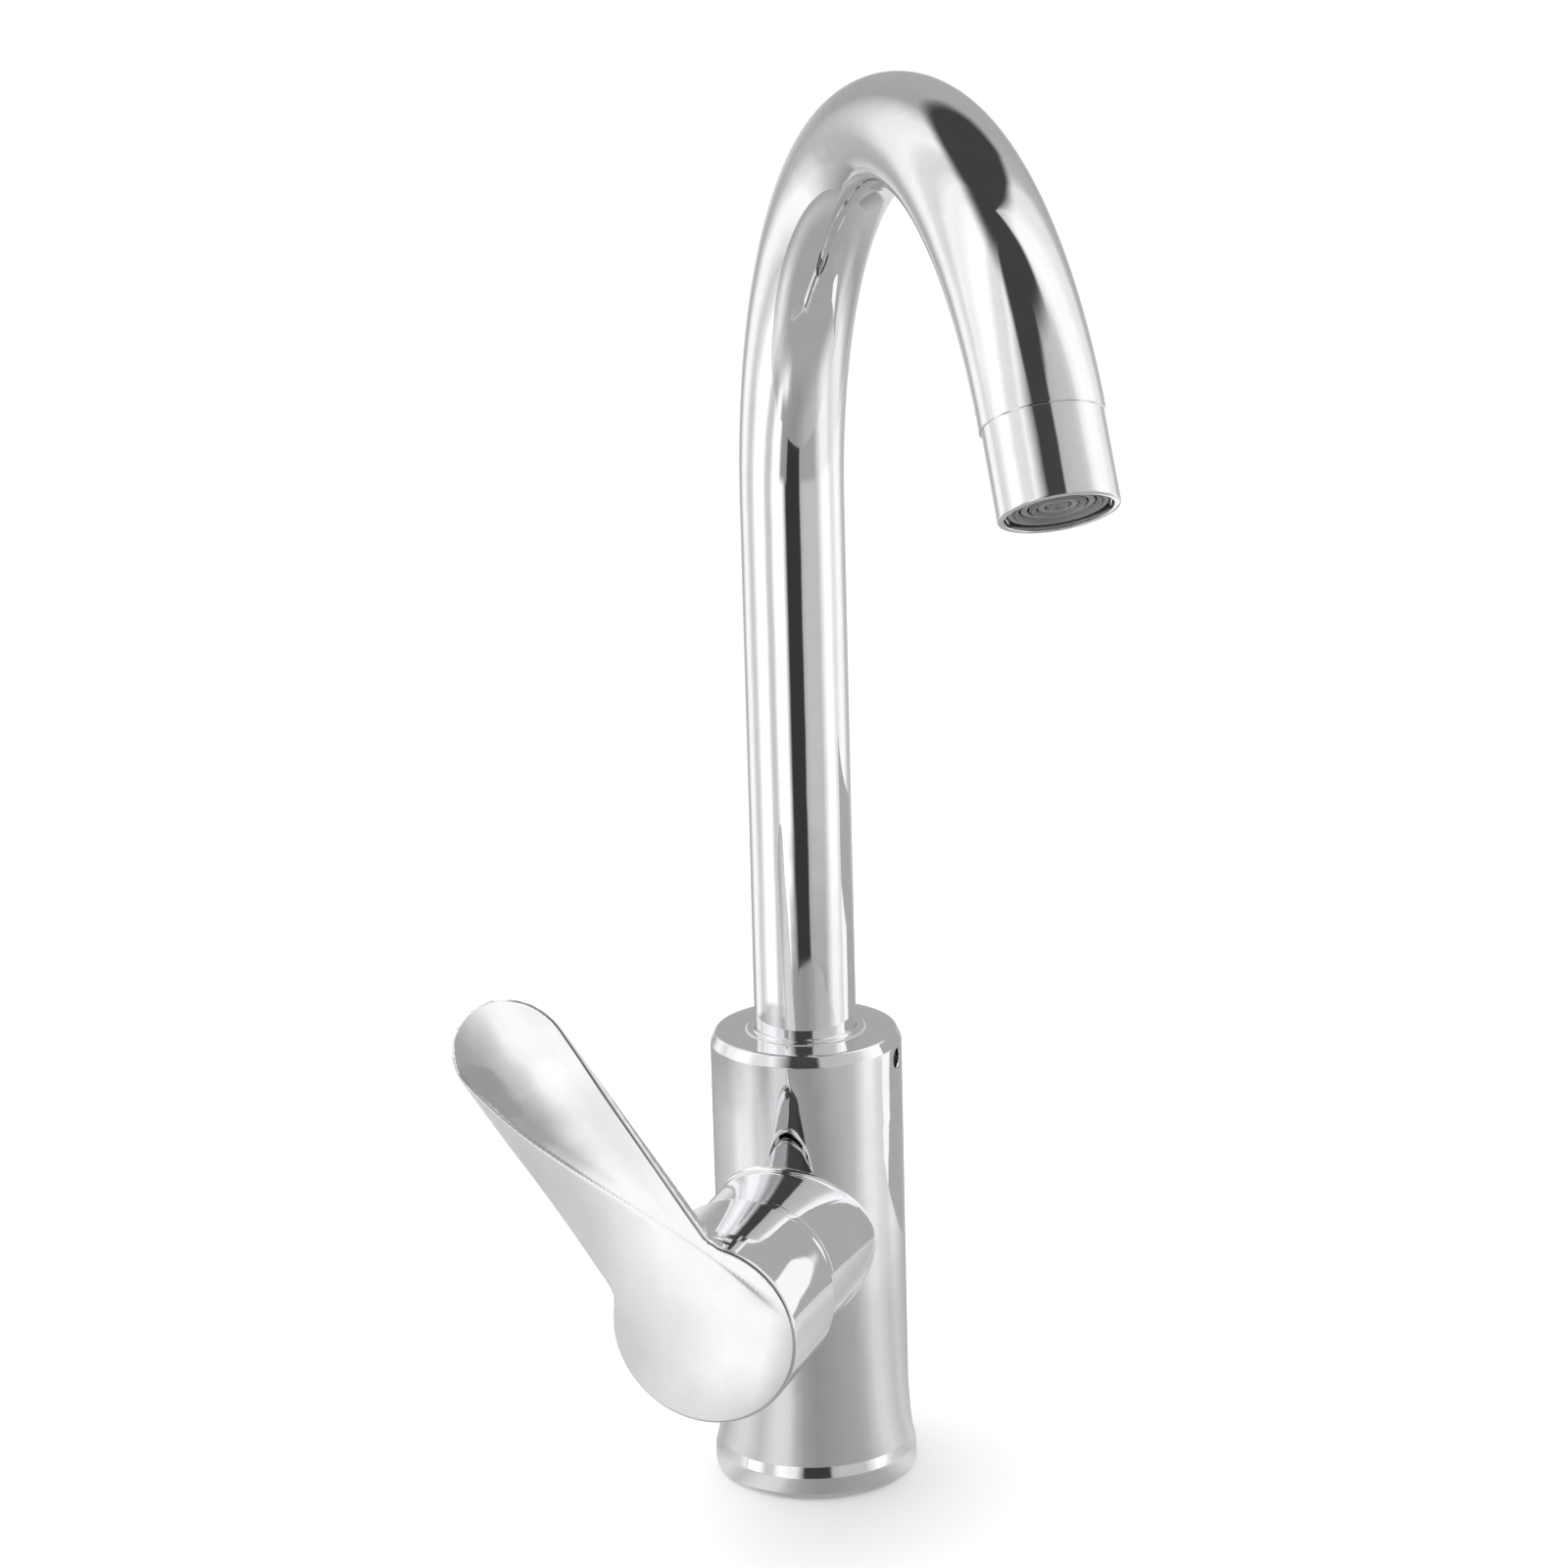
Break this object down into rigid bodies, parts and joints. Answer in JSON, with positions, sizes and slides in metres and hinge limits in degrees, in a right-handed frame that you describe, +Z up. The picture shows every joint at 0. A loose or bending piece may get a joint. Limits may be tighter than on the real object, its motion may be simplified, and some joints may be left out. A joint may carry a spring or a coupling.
{
  "type": "basin mixer tap",
  "caption": "Tall single-lever mixer tap: round body, side lever on a ceramic cartridge, swivelling swan-neck spout with aerator.",
  "frame": {"origin": "centre of the flat underside of the base, on the body's axis, where the tap stands on the basin or worktop", "axes": "+Z up the body; the valve barrel and its lever stand out along -Y; the spout's locking screw faces +X; the spout leaves at -55 degrees from +X and the lever is turned 31 degrees from upright towards -X, both as pictured"},
  "size_m": [0.1734, 0.1892, 0.3538],
  "materials": {
    "chrome": "mirror-polished chrome plate on brass",
    "brass": "machined brass",
    "steel": "plain stainless steel",
    "ceramic": "lapped alumina",
    "ivory_plastic": "moulded acetal",
    "white_plastic": "moulded acetal, low friction",
    "gray_plastic": "moulded grey plastic",
    "rubber": "moulded nitrile rubber"
  },
  "bodies": {
    "body": {"tap_body": "chrome", "base_seal": "rubber", "spout_lock_screw": "steel", "spout_glide_ring": "white_plastic", "cartridge_base": "ivory_plastic", "port_seals": "rubber", "disc_seals": "rubber", "fixed_disc": "ceramic", "cartridge_housing": "ivory_plastic", "cartridge_nut": "brass", "dome_cover": "chrome"},
    "collar": {"turning_collar": "white_plastic", "collar_seal": "rubber", "stem_pin": "steel"},
    "slider": {"moving_disc": "ceramic", "disc_slider": "ivory_plastic", "slider_seal": "rubber"},
    "lever": {"cartridge_stem": "brass", "lever_handle": "chrome", "lever_screw": "steel", "screw_plug": "gray_plastic"},
    "spout": {"spout_foot": "chrome", "spout_seals": "rubber", "spout_lower_bush": "white_plastic", "spout_tube": "chrome", "outlet_adapter": "brass", "outlet_sleeve": "chrome", "aerator_washer": "rubber", "aerator_jet_plate": "ivory_plastic", "aerator_screens": "steel", "aerator_insert": "gray_plastic"}
  },
  "joints": [
    {"name": "spout_swivel", "type": "hinge", "parent": "body", "child": "spout", "pos_m": [0, 0, 0.1], "axis": [0, 0, 1], "continuous": true},
    {"name": "lever_turn", "type": "hinge", "parent": "body", "child": "collar", "pos_m": [0, -0.044, 0.0652], "axis": [0, -1, 0], "range_deg": [-81, 19]},
    {"name": "lever_lift", "type": "hinge", "parent": "collar", "child": "lever", "pos_m": [0, -0.04403, 0.0652], "axis": [0.8572, 0, 0.515], "range_deg": [0, 25]},
    {"name": "disc_slide", "type": "slide", "parent": "collar", "child": "slider", "axis": [-0.515, 0, 0.8572], "range_m": [0, 0.0074]}
  ],
  "couplings": [
    {"joint": "disc_slide", "follows": "lever_lift", "m_per_rad": 0.016766}
  ]
}
